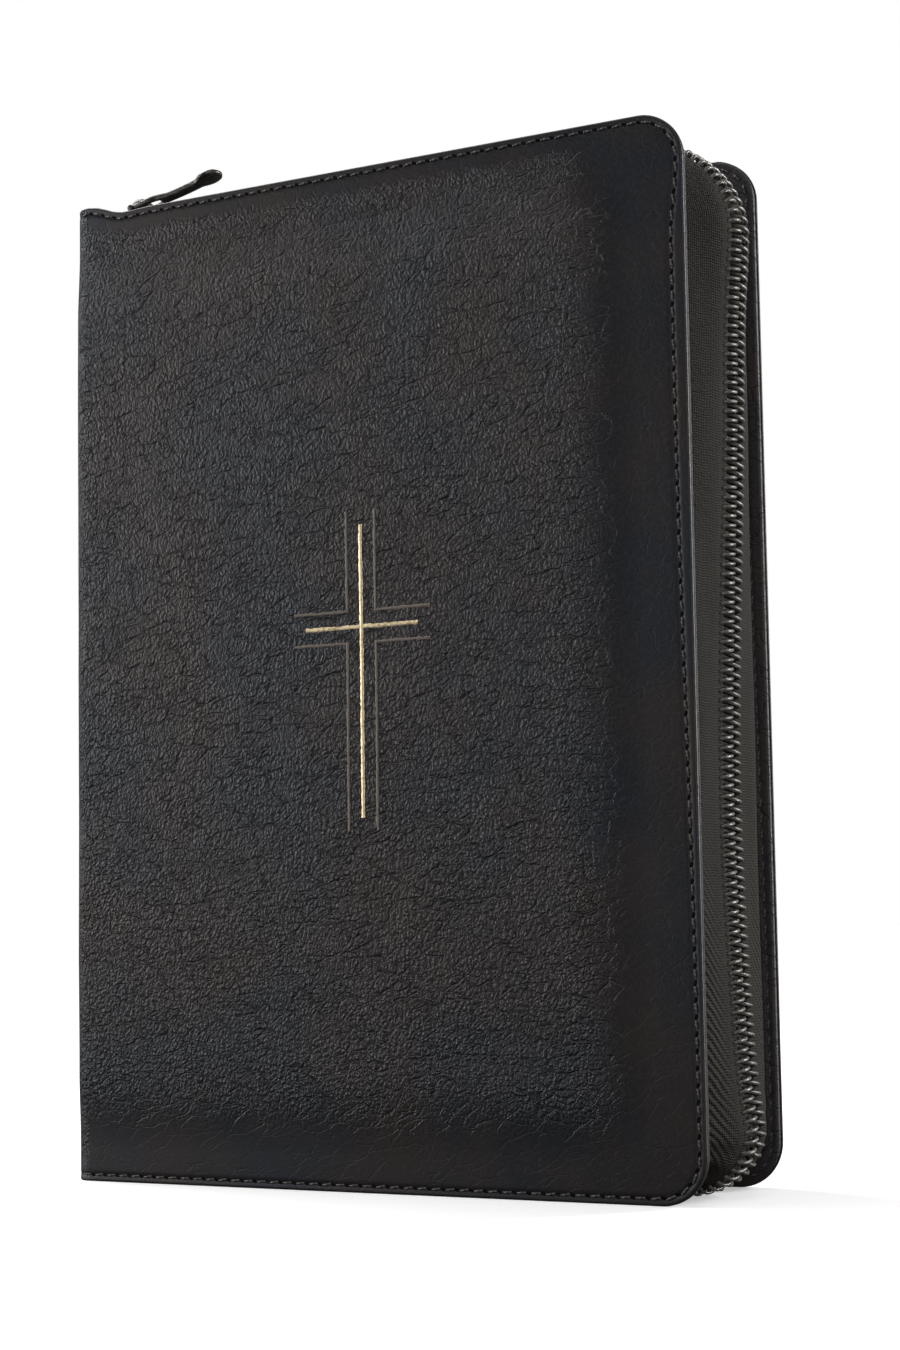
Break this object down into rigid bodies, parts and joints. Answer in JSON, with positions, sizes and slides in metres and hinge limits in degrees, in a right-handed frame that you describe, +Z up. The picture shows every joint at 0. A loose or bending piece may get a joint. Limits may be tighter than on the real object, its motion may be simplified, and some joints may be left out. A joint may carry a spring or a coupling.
{
  "type": "zip-around bible",
  "caption": "Zip-around book with padded leatherette covers, gold cross, zip gusset, sewn page block, turning leaves and a sliding zip pull.",
  "frame": {"origin": "middle of the tail edge's footprint, on the surface the book stands on; the chain's bulge at the fore-edge counts in the width", "axes": "+Z up the height of the book, +X from the spine to the fore-edge, -Y out of the front cover"},
  "size_m": [0.1428, 0.0389, 0.2115],
  "materials": {
    "leather": "fine crackled grain, satin",
    "lining": "smooth matt",
    "board": "raw",
    "thread": "satin thread",
    "gold_foil": "hot foil, speckled",
    "grey_foil": "matt pigment foil",
    "zip_tape": "herringbone twill",
    "zip_coil": "worn satin",
    "slider_metal": "black nickel, semi-gloss",
    "spine_paper": "kraft",
    "gauze": "open weave",
    "end_band": "sewn silk",
    "endpaper": "matt, heavy",
    "pages": "thin india paper, gilt edges"
  },
  "bodies": {
    "book": {"spine_leather": "leather", "spine_lining": "spine_paper", "spine_mull": "gauze", "headband": "end_band", "tailband": "end_band", "front_gutter": "pages", "back_gutter": "pages", "section_1": "pages", "section_2": "pages", "section_3": "pages", "section_4": "pages", "section_5": "pages", "section_6": "pages", "section_7": "pages", "section_8": "pages", "zip_end_head": "zip_tape", "zip_end_tail": "zip_tape", "zip_end_teeth": "zip_coil"},
    "front_cover": {"front_leather": "leather", "front_board": "board", "front_lining": "lining", "front_stitching": "thread", "gold_cross": "gold_foil", "cross_outline": "grey_foil", "front_zip_tape": "zip_tape", "front_zip_teeth": "zip_coil", "front_head_teeth": "zip_coil"},
    "back_cover": {"back_leather": "leather", "back_board": "board", "back_lining": "lining", "back_stitching": "thread", "back_zip_tape": "zip_tape", "back_zip_teeth": "zip_coil", "back_head_teeth": "zip_coil"},
    "slider": {"slider": "slider_metal"},
    "pull": {"pull": "slider_metal"},
    "front_flyleaf": {"front_flyleaf": "endpaper"},
    "leaves_1": {"leaves_1": "pages"},
    "leaves_2": {"leaves_2": "pages"},
    "leaves_3": {"leaves_3": "pages"},
    "back_flyleaf": {"back_flyleaf": "endpaper"},
    "leaves_4": {"leaves_4": "pages"}
  },
  "joints": [
    {"name": "front_cover_fold", "type": "hinge", "parent": "book", "child": "front_cover", "pos_m": [-0.06742, -0.0195, 0], "axis": [0, 0, -1], "range_deg": [0, 175]},
    {"name": "back_cover_fold", "type": "hinge", "parent": "book", "child": "back_cover", "pos_m": [-0.06742, 0.0195, 0], "axis": [0, 0, 1], "range_deg": [0, 175]},
    {"name": "slider_slide", "type": "slide", "parent": "book", "child": "slider", "axis": [1, 0, 0], "range_m": [0, 0.085], "deforming": ["zip_end_teeth", "front_head_teeth", "back_head_teeth"]},
    {"name": "pull_swing", "type": "hinge", "parent": "slider", "child": "pull", "pos_m": [-0.06803, 0, 0.2055], "axis": [0, -1, 0], "range_deg": [0, 150]},
    {"name": "front_flyleaf_turn", "type": "hinge", "parent": "book", "child": "front_flyleaf", "pos_m": [-0.06243, -0.016, 0], "axis": [0, 0, -1], "range_deg": [0, 118]},
    {"name": "leaves_1_turn", "type": "hinge", "parent": "book", "child": "leaves_1", "pos_m": [-0.06243, -0.01555, 0], "axis": [0, 0, -1], "range_deg": [0, 58]},
    {"name": "leaves_2_turn", "type": "hinge", "parent": "book", "child": "leaves_2", "pos_m": [-0.06243, -0.0131, 0], "axis": [0, 0, -1], "range_deg": [0, 29.5]},
    {"name": "leaves_3_turn", "type": "hinge", "parent": "book", "child": "leaves_3", "pos_m": [-0.06243, -0.01065, 0], "axis": [0, 0, -1], "range_deg": [0, 15]},
    {"name": "back_flyleaf_turn", "type": "hinge", "parent": "book", "child": "back_flyleaf", "pos_m": [-0.06243, 0.016, 0], "axis": [0, 0, 1], "range_deg": [0, 118]},
    {"name": "leaves_4_turn", "type": "hinge", "parent": "book", "child": "leaves_4", "pos_m": [-0.06243, 0.01555, 0], "axis": [0, 0, 1], "range_deg": [0, 58]}
  ],
  "couplings": [
    {"joint": "front_flyleaf_turn", "follows": "front_cover_fold", "ratio": 0.66},
    {"joint": "leaves_1_turn", "follows": "front_cover_fold", "ratio": 0.32},
    {"joint": "leaves_2_turn", "follows": "front_cover_fold", "ratio": 0.16},
    {"joint": "leaves_3_turn", "follows": "front_cover_fold", "ratio": 0.08},
    {"joint": "back_flyleaf_turn", "follows": "back_cover_fold", "ratio": 0.66},
    {"joint": "leaves_4_turn", "follows": "back_cover_fold", "ratio": 0.32}
  ]
}
